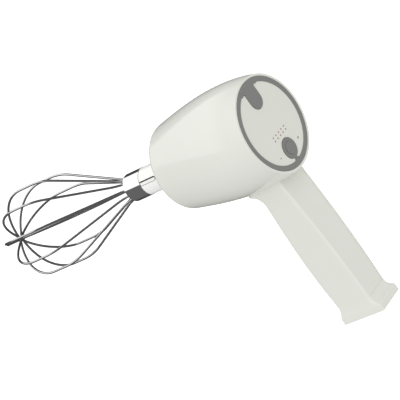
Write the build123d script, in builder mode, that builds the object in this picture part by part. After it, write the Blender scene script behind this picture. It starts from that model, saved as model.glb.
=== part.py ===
from build123d import *
import os
from math import acos, cos, hypot, pi, radians, sin, sqrt, tan

os.makedirs("parts", exist_ok=True)

# Cordless hand mixer, in millimetres. +X runs along the barrel towards the whisk, +Z is up,
# and the origin is the centre of the foot's resting face.
# A station is a distance forward from the barrel's rear face, a height is measured from its axis.

# Overall
axis_height = 150.4      # barrel axis above the resting face
barrel_length = 93.2     # rear face to the tip of the domed nose
foot_length = 36.3
foot_width = 27.0
foot_rear = 4.6          # station of the foot's rear edge
gap = 0.3                # between bodies that move apart
run_fit = 0.05           # radial clearance of a shaft in its bearing

# Barrel
barrel_rear_r = 35.7
barrel_max_r = 39.0
barrel_mid_r = 36.4
barrel_front_r = 31.7
barrel_wall = 1.8
nose_dome = 4.5          # how far the domed nose stands out
nose_round = 4.0

# Grip
grip_wall = 2.0
grip_rear_round = 2.2
grip_front_round = 2.0
inner_round = 1.5        # corners of the flat pieces inside the grip and the foot
neck_height = 10.2       # hollow curve under the barrel, ahead of the grip
neck_reach = 8.0         # how far that curve runs forward
foot_height = 12.4       # foot piece, seam to resting face
lip_height = 5.0         # straight lower edge of the foot
foot_round = 1.2         # the foot's upright corners
cover_edge = 2.6         # side walls' rims, either side of the back cover
cover_recess = 0.4       # the back cover lies this far below those rims
grip_floor = 4.0         # plate across the grip's lower end

# Rear control panel
ring_r = 34.0
ring_inner_r = 30.1
ring_depth = 4.2
ledge_width = 2.1        # the panel rests on this ledge inside the ring
panel_recess = 0.5
panel_thickness = 2.0
tongue_half_width = 6.7
tongue_end_height = 20.0
dial_height = -20.8      # round button, below the axis
dial_r = 7.4
dial_pad_r = 4.6
dial_tail_width = 2.6
button_thickness = 2.2
button_step = 0.5        # raised pad on the round button
tongue_root_round = 1.6  # hollow corners where a button runs out to the ring
dial_root_round = 1.3
post_r = 1.6
hinge_height = 29.4
led_pitch = 4.07
led_heights = (-7.35, -10.0)
led_r = 0.5
led_count = 5

# Electronics
board_r = 27.0
board_station = 8.2
board_thickness = 1.6
switch_size = 6.0
switch_height = 3.1
plunger_r = 1.7
plunger_length = 1.3
cell_r = 9.3
cell_length = 65.0

# Drive
motor_station = 15.0
motor_r = 12.2
motor_length = 31.0
shaft_r = 1.15
module = 0.8
sun_teeth = 12
planet_teeth = 18
ring_teeth = sun_teeth + 2 * planet_teeth
planet_count = 3
pressure_angle = radians(20)
tooth_thinning = 0.12
gear_width = 8.0
bracket_thickness = 2.5
spindle_r = 4.0
bearing_r = 8.0
bearing_width = 5.0

# Chuck and whisk
chuck_r = 10.2
chuck_wall = 1.5
chuck_reach = 28.6       # chuck tube standing out of the nose
slot_width = 3.4
slot_length = 15.5
lug_width = 2.1
slot_azimuth = 16.0      # from +Y towards +Z
ferrule_r = 10.4
ferrule_wall = 0.8
ferrule_length = 15.3
wire_r = 0.9
wire_count = 10
wire_azimuth = 19.0      # of the first wire, from +Y towards +Z
wire_exit_r = 7.3
balloon_r = 33.6         # widest radius of the wires' centrelines
balloon_length = 122.3   # ferrule's front to the crossing of the wires
wire_step = 1.7          # every second wire meets the rod this much earlier
rod_r = 1.1
rod_tip = 14.8           # rod beyond the crossing
tip_hub_r = 1.9

rear_x = -(foot_rear + foot_length / 2)
barrel_axis = Axis((rear_x, 0, axis_height), (1, 0, 0))
side_plane = Plane((rear_x, 0, axis_height), x_dir=(1, 0, 0), z_dir=(0, -1, 0))
face_plane = Plane((rear_x, 0, axis_height), x_dir=(0, 1, 0), z_dir=(1, 0, 0))


def save(piece, name):
    piece.part.label = name
    export_step(piece.part, f"parts/{name}.step")


def disc(start, length, radius, bore=0.0):
    with BuildSketch(face_plane.offset(start)) as outline:
        Circle(radius)
        if bore:
            Circle(bore, mode=Mode.SUBTRACT)
    extrude(outline.sketch, amount=length)


# ---- Barrel ----
dome_radius = (barrel_front_r**2 + nose_dome**2) / (2 * nose_dome)
front_station = barrel_length - nose_dome


def dome_station(radius):
    return barrel_length - dome_radius + sqrt(dome_radius**2 - radius**2)


def barrel_body(inset):
    with BuildPart() as body:
        with BuildSketch(side_plane):
            with BuildLine():
                corner = (front_station - inset, barrel_front_r - inset)
                Spline(
                    (0, barrel_rear_r - inset),
                    (barrel_length / 3, barrel_max_r - inset),
                    (barrel_length * 2 / 3, barrel_mid_r - inset),
                    corner,
                )
                half_r = corner[1] / 2
                ThreePointArc(
                    corner,
                    (dome_station(half_r) - inset, half_r),
                    (barrel_length - inset, 0),
                )
                Polyline((barrel_length - inset, 0), (0, 0), (0, barrel_rear_r - inset))
            make_face()
        revolve(axis=barrel_axis)
        circles = body.edges().filter_by(GeomType.CIRCLE)
        nose_edge = circles.filter_by(lambda edge: abs(edge.radius - corner[1]) < 0.01)
        fillet(nose_edge, nose_round - inset / 2)
    return body.part


barrel_outer = barrel_body(0)
barrel_cavity = barrel_body(barrel_wall)

seal_depth = 4.4         # the shaft seal's seat, back from the nose's corner
seal_station = front_station - seal_depth
seal_width = 3.0
seal_r = 14.5
duct_length = 20.0
duct_width = 19.0
grip_center = 23.6       # station of the middle of the grip

with BuildPart() as barrel_shell:
    add(barrel_outer)
    add(barrel_cavity, mode=Mode.SUBTRACT)
    with BuildSketch(face_plane) as seat:
        Circle(ring_r)
    extrude(seat.sketch, amount=ring_depth, mode=Mode.SUBTRACT)
    disc(seal_station, barrel_length - seal_station, seal_r + barrel_wall, seal_r)
    add(barrel_outer, mode=Mode.INTERSECT)
    with BuildSketch(face_plane.offset(seal_station)) as nose_hole:
        Circle(chuck_r + gap)
    extrude(nose_hole.sketch, amount=barrel_length, mode=Mode.SUBTRACT)
    with BuildSketch(Plane.XY.offset(axis_height)) as duct:
        with Locations((rear_x + grip_center, 0)):
            Rectangle(duct_length, duct_width)
    extrude(duct.sketch, amount=-barrel_max_r * 2, mode=Mode.SUBTRACT)
    fillet(barrel_shell.edges().filter_by(GeomType.CIRCLE).sort_by(Axis.X)[0:1], 0.4)
save(barrel_shell, "barrel_shell")

# ---- Grip ----
seam_depth = axis_height - foot_height
top_depth = barrel_max_r / 2
# share of the way down the grip, rear station, front station, half width
grip_stations = [
    (0.0, 14.0, 34.9, 15.8),
    (0.2, 12.4, 35.3, 15.4),
    (0.5, 10.2, 38.1, 14.5),
    (0.8, 9.3, 38.9, 13.6),
    (1.0, 9.6, 37.9, 13.0),
]


def rounded_section(depth, rear, front, half_width, inset=0.0, rounds=None):
    """A level slice at a depth below the axis, with its rear and its front corners rounded."""
    rear_round, front_round = rounds or (grip_rear_round, grip_front_round)
    with BuildSketch(Plane.XY.offset(axis_height - depth)) as section:
        with Locations((rear_x + (rear + front) / 2, 0)):
            Rectangle(front - rear - 2 * inset, 2 * (half_width - inset))
        fillet(section.vertices().group_by(Axis.X)[0], max(rear_round - inset, 0.2))
        fillet(section.vertices().group_by(Axis.X)[-1], max(front_round - inset, 0.2))
    return section.sketch


def grip_depth(share):
    return top_depth + share * (seam_depth - top_depth)


def grip_body(inset):
    sections = []
    for share, rear, front, half_width in grip_stations:
        sections.append(rounded_section(grip_depth(share), rear, front, half_width, inset))
    with BuildPart() as body:
        loft(sections)
    return body.part


# The neck grows out of the grip on an arc, and its corners open up as it nears the barrel.
neck_rear, neck_front, neck_half_width = grip_stations[1][1:]
neck_depth = barrel_max_r + neck_height
neck_arc_r = (neck_height**2 + neck_reach**2) / (2 * neck_reach)
neck_sections = []
for rise in (0.0, 0.3, 0.55, 0.75, 0.9, 1.0):
    reach = neck_arc_r - sqrt(neck_arc_r**2 - (rise * neck_height) ** 2)
    neck_sections.append(
        rounded_section(
            neck_depth - rise * neck_height,
            neck_rear + grip_wall,
            neck_front + reach,
            neck_half_width - 0.1,
            rounds=(grip_rear_round, grip_front_round + reach * 0.6),
        )
    )
neck_sections.append(
    rounded_section(
        barrel_max_r - neck_height / 2,
        neck_rear + grip_wall,
        neck_front + neck_reach * 1.15,
        neck_half_width - 0.1,
        rounds=(grip_rear_round, grip_front_round + neck_reach * 0.8),
    )
)
with BuildPart() as neck:
    loft(neck_sections)

# The back cover fills a long opening between the rims of the side walls.
cover_reach = grip_wall * 1.3
cover_sections = []
for share, rear, front, half_width in grip_stations:
    with BuildSketch(Plane.XY.offset(axis_height - grip_depth(share))) as opening:
        with Locations((rear_x + rear, 0)):
            Rectangle(2 * cover_reach, 2 * (half_width - cover_edge))
    cover_sections.append(opening.sketch)
with BuildPart() as cover_opening:
    loft(cover_sections)

wire_passage = (8.0, 6.0)     # opening for the leads, through the grip's floor
screw_shank_r = 1.25
screw_head_r = 2.6
screw_head_height = 1.6
head_clearance = 0.2
screw_length = 13.0
screw_recess = 0.6
boss_r = 3.2
boss_inset = 0.9
screw_offset = foot_width / 2 - grip_wall - boss_r - boss_inset
screw_points = [(rear_x + grip_center, side * screw_offset) for side in (-1, 1)]

floor_section = rounded_section(seam_depth, *grip_stations[-1][1:], grip_wall / 2)
with BuildPart() as grip_skin:
    add(grip_body(0))
    add(neck.part)
    add(grip_body(grip_wall), mode=Mode.SUBTRACT)
    extrude(floor_section, amount=grip_floor)
    with BuildSketch(Plane.XY.offset(foot_height)) as floor_holes:
        with Locations(*screw_points):
            Circle(screw_shank_r)
        with Locations((rear_x + grip_center, 0)):
            Rectangle(*wire_passage)
    extrude(floor_holes.sketch, amount=grip_floor, mode=Mode.SUBTRACT)
    with BuildSketch(Plane.XY.offset(axis_height)) as throat:
        with Locations((rear_x + grip_center, 0)):
            Rectangle(duct_length, duct_width)
    extrude(throat.sketch, amount=-barrel_max_r * 1.2, mode=Mode.SUBTRACT)
    add(barrel_outer, mode=Mode.SUBTRACT)

with BuildPart() as grip_shell:
    add(grip_skin.part)
    add(cover_opening.part, mode=Mode.SUBTRACT)
save(grip_shell, "grip_shell")
with BuildPart() as grip_back:
    add(grip_body(0).moved(Location((cover_recess, 0, 0))))
    add(grip_body(grip_wall), mode=Mode.SUBTRACT)
    add(cover_opening.part, mode=Mode.INTERSECT)
    add(barrel_outer, mode=Mode.SUBTRACT)
save(grip_back, "grip_back")

# ---- Foot ----
foot_front = foot_rear + foot_length
foot_floor = 3.0
grip_end = grip_stations[-1]
lip_depth = axis_height - lip_height
port_width = 9.2
port_height = 3.4
port_depth = 7.4
port_level = 8.2         # socket centre above the resting face

# share of the foot's flare reached at each share of the way down to the lip
foot_flare = ((0.0, 0.0), (0.35, 0.05), (0.62, 0.22), (0.82, 0.55), (0.93, 0.86), (1.0, 1.0))
foot_sections = []
for share, flare in foot_flare:
    rear = grip_end[1] + flare * (foot_rear - grip_end[1])
    front = grip_end[2] + sqrt(flare) * (foot_front - grip_end[2])
    half_width = grip_end[3] + flare * (foot_width / 2 - grip_end[3])
    rear_round = grip_rear_round + flare * (foot_round - grip_rear_round)
    front_round = grip_front_round + sqrt(flare) * (foot_round - grip_front_round)
    foot_sections.append(
        rounded_section(
            seam_depth + share * (lip_depth - seam_depth),
            rear,
            front,
            half_width,
            rounds=(rear_round, front_round),
        )
    )
foot_base = rounded_section(
    axis_height, foot_rear, foot_front, foot_width / 2, rounds=(foot_round, foot_round)
)
hollow_top = rounded_section(seam_depth, *grip_end[1:], grip_wall)
hollow_floor = rounded_section(axis_height - foot_floor, *grip_end[1:], grip_wall)
with BuildPart() as foot_cap:
    loft(foot_sections)
    loft([foot_sections[-1], foot_base], ruled=True)
    loft([hollow_top, hollow_floor], ruled=True, mode=Mode.SUBTRACT)
    with BuildSketch(Plane.XY.offset(foot_floor)) as bosses:
        with Locations(*screw_points):
            Circle(boss_r)
    extrude(bosses.sketch, amount=foot_height - foot_floor)
    with Locations(*[(x, y, 0) for x, y in screw_points]):
        Cylinder(screw_shank_r + run_fit, 2 * foot_height + 2, mode=Mode.SUBTRACT)
        Cylinder(
            screw_head_r + head_clearance,
            2 * (screw_head_height + screw_recess),
            mode=Mode.SUBTRACT,
        )
    with Locations((rear_x + foot_front - grip_wall, 0, port_level)):
        Box(port_depth * 2, port_width, port_height, mode=Mode.SUBTRACT)
save(foot_cap, "foot_cap")

screw_slot = 0.9
for index, point in enumerate(screw_points):
    with BuildPart() as screw:
        with BuildSketch(Plane.XY.offset(screw_recess)) as head:
            with Locations(point):
                Circle(screw_head_r)
                Rectangle(2 * screw_shank_r, screw_slot, mode=Mode.SUBTRACT)
                Rectangle(screw_slot, 2 * screw_shank_r, mode=Mode.SUBTRACT)
        extrude(head.sketch, amount=screw_head_height)
        with BuildSketch(Plane.XY.offset(screw_recess + screw_head_height / 2)) as shank:
            with Locations(point):
                Circle(screw_shank_r)
        extrude(shank.sketch, amount=screw_length)
    save(screw, f"foot_screw_{index + 1}")

# ---- Charging board, ballast and battery in the grip ----
port_wall = 0.4
port_fit = 0.1
contact_tongue = 0.7
port_setback = 2.9       # socket's mouth, behind the foot's front edge
port_back = 1.0
port_station = foot_front - port_setback - port_depth
with BuildPart() as charge_port:
    with BuildSketch(Plane((rear_x + port_station, 0, port_level), x_dir=(0, 1, 0), z_dir=(1, 0, 0))):
        RectangleRounded(port_width - port_fit, port_height - port_fit, port_height / 2 - port_fit)
    extrude(amount=port_depth)
    with BuildSketch(
        Plane((rear_x + port_station + port_back, 0, port_level), x_dir=(0, 1, 0), z_dir=(1, 0, 0))
    ):
        RectangleRounded(
            port_width - port_fit - 2 * port_wall,
            port_height - port_fit - 2 * port_wall,
            port_height / 2 - port_fit - port_wall,
        )
    extrude(amount=port_depth, mode=Mode.SUBTRACT)
    with Locations((rear_x + port_station + port_depth / 2, 0, port_level)):
        Box(port_depth - 2 * port_back, port_width * 0.6, contact_tongue)
save(charge_port, "charge_port")

board_gap = 0.1
charge_board_length = 20.0
charge_board_width = 20.0
charge_board_thickness = 1.2
charge_board_gap = 0.2
charge_board_level = port_level + port_height / 2
with BuildPart() as charge_board:
    with BuildSketch(Plane.XY.offset(charge_board_level)):
        with Locations((rear_x + grip_end[2] - grip_wall - charge_board_gap - charge_board_length / 2, 0)):
            RectangleRounded(charge_board_length, charge_board_width, inner_round)
        with Locations(*screw_points):
            Circle(boss_r + board_gap, mode=Mode.SUBTRACT)
    extrude(amount=charge_board_thickness)
save(charge_board, "charge_board")

ballast_height = 3.0
ballast_fit = 0.4
with BuildPart() as ballast:
    with BuildSketch(Plane.XY.offset(foot_floor)):
        with Locations((rear_x + (grip_end[1] + grip_end[2]) / 2, 0)):
            RectangleRounded(
                grip_end[2] - grip_end[1] - 2 * grip_wall - ballast_fit,
                2 * (grip_end[3] - grip_wall) - ballast_fit,
                inner_round,
            )
        with Locations(*screw_points):
            Circle(boss_r + board_gap, mode=Mode.SUBTRACT)
    extrude(amount=ballast_height)
save(ballast, "ballast_plate")

contact_thickness = 0.6
contact_length = 14.0
contact_width = 12.0
cell_setback = 1.0       # cell to the back cover
cell_button_height = 1.5
cell_station = grip_end[1] + grip_wall + cell_r + cell_setback
cell_bottom = foot_height + grip_floor + contact_thickness
cell_plane = Plane((rear_x + cell_station, 0, cell_bottom))
with BuildPart() as battery_cell:
    with BuildSketch(cell_plane):
        Circle(cell_r)
    extrude(amount=cell_length - cell_button_height)
    fillet(battery_cell.edges(), 0.6)
    with BuildSketch(cell_plane.offset(cell_length / 2)):
        Circle(cell_r * 0.3)
    extrude(amount=cell_length / 2)
save(battery_cell, "battery_cell")

cradle_wall = 1.2
cradle_fit = 0.1
cradle_rib = 2.4
cradle_height = cell_length * 0.8
with BuildPart() as cell_cradle:
    with BuildSketch(cell_plane.offset((cell_length - cradle_height) / 2)):
        Circle(cell_r + cradle_fit + cradle_wall)
        Circle(cell_r + cradle_fit, mode=Mode.SUBTRACT)
        with Locations((-cell_r, 0)):
            Rectangle(2 * cell_r, 2.4 * cell_r, mode=Mode.SUBTRACT)
        with Locations((cell_r + cradle_wall + cradle_rib / 2 - cradle_fit, 0)):
            Rectangle(cradle_rib, cradle_rib)
    extrude(amount=cradle_height)
save(cell_cradle, "cell_cradle")

for name, level in (
    ("contact_bottom", cell_bottom - contact_thickness),
    ("contact_top", cell_bottom + cell_length),
):
    with BuildPart() as contact:
        with BuildSketch(Plane.XY.offset(level)):
            with Locations((rear_x + cell_station, 0)):
                RectangleRounded(contact_length, contact_width, inner_round)
        extrude(amount=contact_thickness)
    save(contact, name)

# ---- Rear control panel ----
button_reach = ring_inner_r - gap


def button_outlines(grow):
    """Both buttons, as one shape inside the ring: a tongue with straight sides, and a disc
    on a narrow tail. Each root opens out to the ring in hollow curves."""
    with BuildSketch(face_plane) as field:
        Circle(ring_inner_r)
        with Locations((0, tongue_end_height)):
            Circle(tongue_half_width + grow, mode=Mode.SUBTRACT)
        with Locations((0, (tongue_end_height + ring_r) / 2)):
            Rectangle(
                2 * (tongue_half_width + grow), ring_r - tongue_end_height, mode=Mode.SUBTRACT
            )
        with Locations((0, dial_height)):
            Circle(dial_r + grow, mode=Mode.SUBTRACT)
        with Locations((0, (dial_height - ring_r) / 2)):
            Rectangle(dial_tail_width + 2 * grow, ring_r + dial_height, mode=Mode.SUBTRACT)
        rim_points = field.vertices().filter_by(
            lambda vertex: hypot(vertex.X, vertex.Y) > ring_inner_r - 0.01
        )
        fillet(rim_points.filter_by(lambda vertex: vertex.Y > 0), tongue_root_round + grow)
        fillet(rim_points.filter_by(lambda vertex: vertex.Y < 0), dial_root_round + grow)
    with BuildSketch(face_plane) as outlines:
        Circle(ring_inner_r)
        add(field.sketch_local, mode=Mode.SUBTRACT)
        Circle(button_reach + grow, mode=Mode.INTERSECT)
    return outlines.sketch


button_faces = button_outlines(0).faces().sort_by(Axis.Z)
power_outline = button_faces[0]
upper_outline = button_faces[-1]
plunger_play = 0.4
post_end = board_station - switch_height - plunger_play - gap
ledge_overlap = 0.1
ring_round = 0.5
with BuildPart() as trim_ring:
    disc(0, ring_depth, ring_r, ring_inner_r)
    ledge_start = panel_recess + panel_thickness
    disc(ledge_start, ring_depth - ledge_start, ring_inner_r + ledge_overlap, ring_inner_r - ledge_width)
    fillet(trim_ring.edges().group_by(Axis.X)[0], ring_round)
save(trim_ring, "trim_ring")

light_pipe_thickness = 1.2
with BuildPart() as face_panel:
    disc(panel_recess, panel_thickness, ring_inner_r)
    extrude(button_outlines(gap), amount=ring_depth, mode=Mode.SUBTRACT)
    with BuildSketch(face_plane) as led_holes:
        for height in led_heights:
            with Locations((0, height)):
                with GridLocations(led_pitch, 1, led_count, 1):
                    Circle(led_r)
    extrude(led_holes.sketch, amount=ring_depth, mode=Mode.SUBTRACT)
save(face_panel, "face_panel")

with BuildPart() as upper_button:
    extrude(upper_outline, amount=button_thickness)
    with BuildSketch(face_plane.offset(button_thickness)) as post:
        with Locations((0, tongue_end_height)):
            Circle(post_r)
    extrude(post.sketch, amount=post_end - button_thickness)
save(upper_button, "upper_button")

with BuildPart() as power_button:
    extrude(power_outline, amount=button_thickness)
    with BuildSketch(face_plane.offset(-button_step)) as pad:
        with Locations((0, dial_height)):
            Circle(dial_pad_r)
    extrude(pad.sketch, amount=button_thickness)
    with BuildSketch(face_plane.offset(button_thickness)) as post:
        with Locations((0, dial_height)):
            Circle(post_r)
    extrude(post.sketch, amount=post_end - button_thickness)
save(power_button, "power_button")

pipe_start = panel_recess + panel_thickness
with BuildPart() as light_pipe:
    with BuildSketch(face_plane.offset(pipe_start)) as bar:
        with Locations((0, sum(led_heights) / 2)):
            Rectangle(led_pitch * led_count, led_heights[0] - led_heights[1] + 5 * led_r)
    extrude(bar.sketch, amount=light_pipe_thickness)
    with BuildSketch(face_plane.offset(panel_recess)) as pins:
        for height in led_heights:
            with Locations((0, height)):
                with GridLocations(led_pitch, 1, led_count, 1):
                    Circle(led_r)
    extrude(pins.sketch, amount=panel_thickness)
save(light_pipe, "light_pipe")

board_notch = 6.0        # lets the battery leads past
with BuildPart() as control_board:
    disc(board_station, board_thickness, board_r)
    with BuildSketch(face_plane.offset(board_station)) as relief:
        with Locations((0, -board_r)):
            Rectangle(duct_width, 2 * board_notch)
    extrude(relief.sketch, amount=board_thickness, mode=Mode.SUBTRACT)
save(control_board, "control_board")

standoff_r = 1.8
standoff_count = 3
standoff_start = 150     # degrees, so that one stands clear of the notch on each side
frame_thickness = 1.6
frame_lap = 1.5
frame_fit = 0.4
with BuildPart() as board_frame:
    disc(ring_depth, frame_thickness, ring_r - frame_fit, board_r - frame_lap)
    with BuildSketch(face_plane.offset(ring_depth)) as standoffs:
        with PolarLocations(board_r - frame_lap / 8, standoff_count, start_angle=standoff_start):
            Circle(standoff_r)
    extrude(standoffs.sketch, amount=board_station - ring_depth)
save(board_frame, "board_frame")

led_bar_height = 1.0
led_size = 1.8
with BuildPart() as led_array:
    with BuildSketch(face_plane.offset(board_station - led_bar_height)):
        with Locations((0, sum(led_heights) / 2)):
            Rectangle(led_pitch * (led_count - 1) + led_size, led_heights[0] - led_heights[1] + led_size)
    extrude(amount=led_bar_height)
save(led_array, "led_array")

switch_base = 0.4
plunger_start = post_end + gap
for name, height in (("upper", tongue_end_height), ("power", dial_height)):
    switch_plane = face_plane.offset(board_station - switch_height)
    with BuildPart() as switch:
        with BuildSketch(switch_plane):
            with Locations((0, height)):
                Rectangle(switch_size, switch_size)
                Circle(plunger_r + run_fit, mode=Mode.SUBTRACT)
        extrude(amount=switch_height - switch_base)
        with BuildSketch(face_plane.offset(board_station - switch_base)):
            with Locations((0, height)):
                Rectangle(switch_size, switch_size)
        extrude(amount=switch_base)
    save(switch, f"{name}_switch")
    with BuildPart() as plunger:
        with BuildSketch(face_plane.offset(plunger_start)):
            with Locations((0, height)):
                Circle(plunger_r)
        extrude(amount=plunger_length)
    save(plunger, f"{name}_plunger")

# ---- Motor ----
motor_skin = 1.0
motor_end = motor_station + motor_length
boss_length = 2.0        # round boss that centres the motor in its bracket
motor_boss_r = 4.0
motor_screw_offset = 8.0
motor_screw_r = 1.0
can_floor = 2.0
with BuildPart() as motor_can:
    disc(motor_station, motor_length, motor_r, motor_r - motor_skin)
    disc(motor_end - can_floor, can_floor + boss_length, motor_boss_r, shaft_r + run_fit)
    disc(motor_end - can_floor, can_floor, motor_r - motor_skin / 2, motor_boss_r - 0.1)
    with BuildSketch(face_plane.offset(motor_end - can_floor)) as tapped:
        with Locations((-motor_screw_offset, 0), (motor_screw_offset, 0)):
            Circle(motor_screw_r)
    extrude(tapped.sketch, amount=can_floor, mode=Mode.SUBTRACT)
save(motor_can, "motor_can")

motor_cap_length = 3.0
with BuildPart() as motor_cap:
    disc(motor_station - motor_skin, motor_skin, motor_r, shaft_r + run_fit)
    disc(motor_station, motor_cap_length, motor_r - motor_skin, shaft_r + run_fit)
save(motor_cap, "motor_cap")

vent_orbit_r = 28.0
vent_r = 4.5
with BuildPart() as motor_bracket:
    disc(motor_end, bracket_thickness, barrel_max_r, motor_boss_r)
    with BuildSketch(face_plane.offset(motor_end)) as openings:
        with Locations((-motor_screw_offset, 0), (motor_screw_offset, 0)):
            Circle(motor_screw_r + run_fit)
        with PolarLocations(vent_orbit_r, 4, start_angle=45):
            Circle(vent_r)
    extrude(openings.sketch, amount=bracket_thickness, mode=Mode.SUBTRACT)
    add(barrel_cavity, mode=Mode.INTERSECT)
save(motor_bracket, "motor_bracket")

motor_head_r = 1.9
motor_head_height = 1.3
gearbox_station = motor_end + bracket_thickness
for index, side in enumerate((-1, 1)):
    with BuildPart() as screw:
        with BuildSketch(face_plane.offset(gearbox_station)) as head:
            with Locations((side * motor_screw_offset, 0)):
                Circle(motor_head_r)
                Rectangle(1.2 * motor_head_r, motor_head_r / 3, mode=Mode.SUBTRACT)
        extrude(head.sketch, amount=motor_head_height)
        with BuildSketch(face_plane.offset(motor_end - can_floor)) as shank:
            with Locations((side * motor_screw_offset, 0)):
                Circle(motor_screw_r)
        extrude(shank.sketch, amount=can_floor + bracket_thickness + motor_head_height / 3)
    save(screw, f"motor_screw_{index + 1}")

# ---- Planetary gearbox ----
addendum = 0.9 * module
dedendum = 1.25 * module
sun_pitch_r = module * sun_teeth / 2
planet_pitch_r = module * planet_teeth / 2
ring_pitch_r = module * ring_teeth / 2
planet_orbit_r = sun_pitch_r + planet_pitch_r
gear_station = gearbox_station + 2.5
gear_end = gear_station + gear_width
carrier_station = gear_end + 0.5
carrier_thickness = 3.0
cover_station = carrier_station + carrier_thickness + 0.6
housing_r = ring_pitch_r + dedendum + 2.2
planet_pin_r = 1.5
carrier_rim = 3.5        # carrier beyond its pins


def gear_points(teeth, tip_r, root_r, thinning, turn=0.0):
    """Outline of involute teeth, with the first tooth centred at the angle `turn`."""
    pitch_r = module * teeth / 2
    base_r = pitch_r * cos(pressure_angle)
    involute_at_pitch = tan(pressure_angle) - pressure_angle
    half_at_pitch = pi / (2 * teeth) - thinning / (2 * pitch_r)
    start_r = max(base_r, root_r)
    flank = []
    for step in range(5):
        radius = start_r + (tip_r - start_r) * step / 4
        roll = acos(base_r / radius)
        flank.append((radius, half_at_pitch + involute_at_pitch - (tan(roll) - roll)))
    if root_r < start_r:
        flank.insert(0, (root_r, flank[0][1]))
    points = []
    for tooth in range(teeth):
        middle = turn + 2 * pi * tooth / teeth
        for radius, half in flank:
            points.append((radius * cos(middle - half), radius * sin(middle - half)))
        for radius, half in reversed(flank):
            points.append((radius * cos(middle + half), radius * sin(middle + half)))
    return points


def gear_body(points, start, width, bore, center=(0, 0)):
    with BuildPart() as gear:
        with BuildSketch(face_plane.offset(start)) as outline:
            with BuildLine():
                Polyline(*[(center[0] + x, center[1] + y) for x, y in points], close=True)
            make_face()
            if bore:
                with Locations(center):
                    Circle(bore, mode=Mode.SUBTRACT)
        extrude(outline.sketch, amount=width)
    return gear


sun_points = gear_points(sun_teeth, sun_pitch_r + addendum, sun_pitch_r - dedendum, tooth_thinning)
sun_gear = gear_body(sun_points, gear_station, gear_width, shaft_r)
save(sun_gear, "sun_gear")

rotor_end = motor_end - can_floor - gap
rotor_start = motor_station + motor_cap_length + gap
with BuildPart() as armature:
    disc(rotor_start + 5.0, rotor_end - rotor_start - 6.5, motor_r - motor_skin - 1.2, shaft_r)
    with BuildSketch(face_plane.offset(rotor_start + 5.0)) as slots:
        with PolarLocations(motor_r - motor_skin - 2.2, 3):
            Rectangle(4.0, 1.6)
    extrude(slots.sketch, amount=rotor_end - rotor_start, mode=Mode.SUBTRACT)
    disc(rotor_start + 0.5, 4.6, 3.0, shaft_r)
save(armature, "armature")
with BuildPart() as motor_shaft:
    disc(motor_station - 2.5, gear_end - motor_station + 2.5, shaft_r)
save(motor_shaft, "motor_shaft")

planet_turn = pi / planet_teeth
planet_width = gear_width - 0.6
pin_places = []
for index in range(planet_count):
    angle = 2 * pi * index / planet_count
    place = (planet_orbit_r * cos(angle), planet_orbit_r * sin(angle))
    pin_places.append(place)
    planet_points = gear_points(
        planet_teeth,
        planet_pitch_r + addendum,
        planet_pitch_r - dedendum,
        tooth_thinning,
        angle + planet_turn,
    )
    planet_gear = gear_body(
        planet_points, gear_station + 0.3, planet_width, planet_pin_r + run_fit, place
    )
    save(planet_gear, f"planet_gear_{index + 1}")

ring_points = gear_points(
    ring_teeth, ring_pitch_r + dedendum, ring_pitch_r - addendum, -tooth_thinning, pi / ring_teeth
)
ring_cut = gear_body(ring_points, gear_station, gear_width, 0)
with BuildPart() as gear_housing:
    disc(gearbox_station, cover_station - gearbox_station, housing_r)
    disc(gearbox_station, gear_station - gearbox_station, ring_pitch_r - addendum)
    add(ring_cut.part, mode=Mode.SUBTRACT)
    with BuildSketch(face_plane.offset(gearbox_station)) as rear_bore:
        Circle(ring_pitch_r - addendum)
    extrude(rear_bore.sketch, amount=gear_station - gearbox_station, mode=Mode.SUBTRACT)
    with BuildSketch(face_plane.offset(gear_end)) as front_bore:
        Circle(ring_pitch_r + dedendum)
    extrude(front_bore.sketch, amount=cover_station - gear_end, mode=Mode.SUBTRACT)
save(gear_housing, "gear_housing")

with BuildPart() as planet_carrier:
    disc(carrier_station, carrier_thickness, planet_orbit_r + carrier_rim, spindle_r)
    with BuildSketch(face_plane.offset(gear_station)) as pins:
        with Locations(*pin_places):
            Circle(planet_pin_r)
    extrude(pins.sketch, amount=gear_width + 0.5)
save(planet_carrier, "planet_carrier")

collar = 2.0
with BuildPart() as gear_cover:
    disc(cover_station, bracket_thickness, housing_r, bearing_r)
    disc(cover_station + bracket_thickness, bearing_width - bracket_thickness, bearing_r + collar, bearing_r)
save(gear_cover, "gear_cover")

# ---- Spindle and chuck ----
chuck_rear = seal_station - 2.0
chuck_web = 4.0
chuck_end = barrel_length + chuck_reach
bulkhead_station = chuck_rear - 1.5 - bearing_width
with BuildPart() as nose_bulkhead:
    disc(bulkhead_station, bracket_thickness, barrel_max_r, bearing_r)
    disc(
        bulkhead_station + bracket_thickness,
        bearing_width - bracket_thickness,
        bearing_r + collar,
        bearing_r,
    )
    add(barrel_cavity, mode=Mode.INTERSECT)
save(nose_bulkhead, "nose_bulkhead")
for name, station in (("rear_bearing", cover_station), ("front_bearing", bulkhead_station)):
    with BuildPart() as bearing:
        disc(station, bearing_width, bearing_r, spindle_r + run_fit)
    save(bearing, name)

with BuildPart() as spindle:
    disc(carrier_station, chuck_rear + chuck_web - carrier_station, spindle_r)
save(spindle, "spindle")

slot_plane = Plane(
    (rear_x, 0, axis_height),
    x_dir=(1, 0, 0),
    z_dir=(0, cos(radians(slot_azimuth)), sin(radians(slot_azimuth))),
)
with BuildPart() as chuck:
    disc(chuck_rear, chuck_web, chuck_r, spindle_r)
    disc(chuck_rear + chuck_web, chuck_end - chuck_rear - chuck_web, chuck_r, chuck_r - chuck_wall)
    with BuildSketch(slot_plane) as slot:
        with Locations((chuck_end, 0)):
            SlotOverall(2 * slot_length, slot_width)
    extrude(slot.sketch, amount=2 * chuck_r, mode=Mode.SUBTRACT)
save(chuck, "chuck")

with BuildPart() as shaft_seal:
    disc(seal_station, seal_width, seal_r, chuck_r + run_fit)
save(shaft_seal, "shaft_seal")

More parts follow.
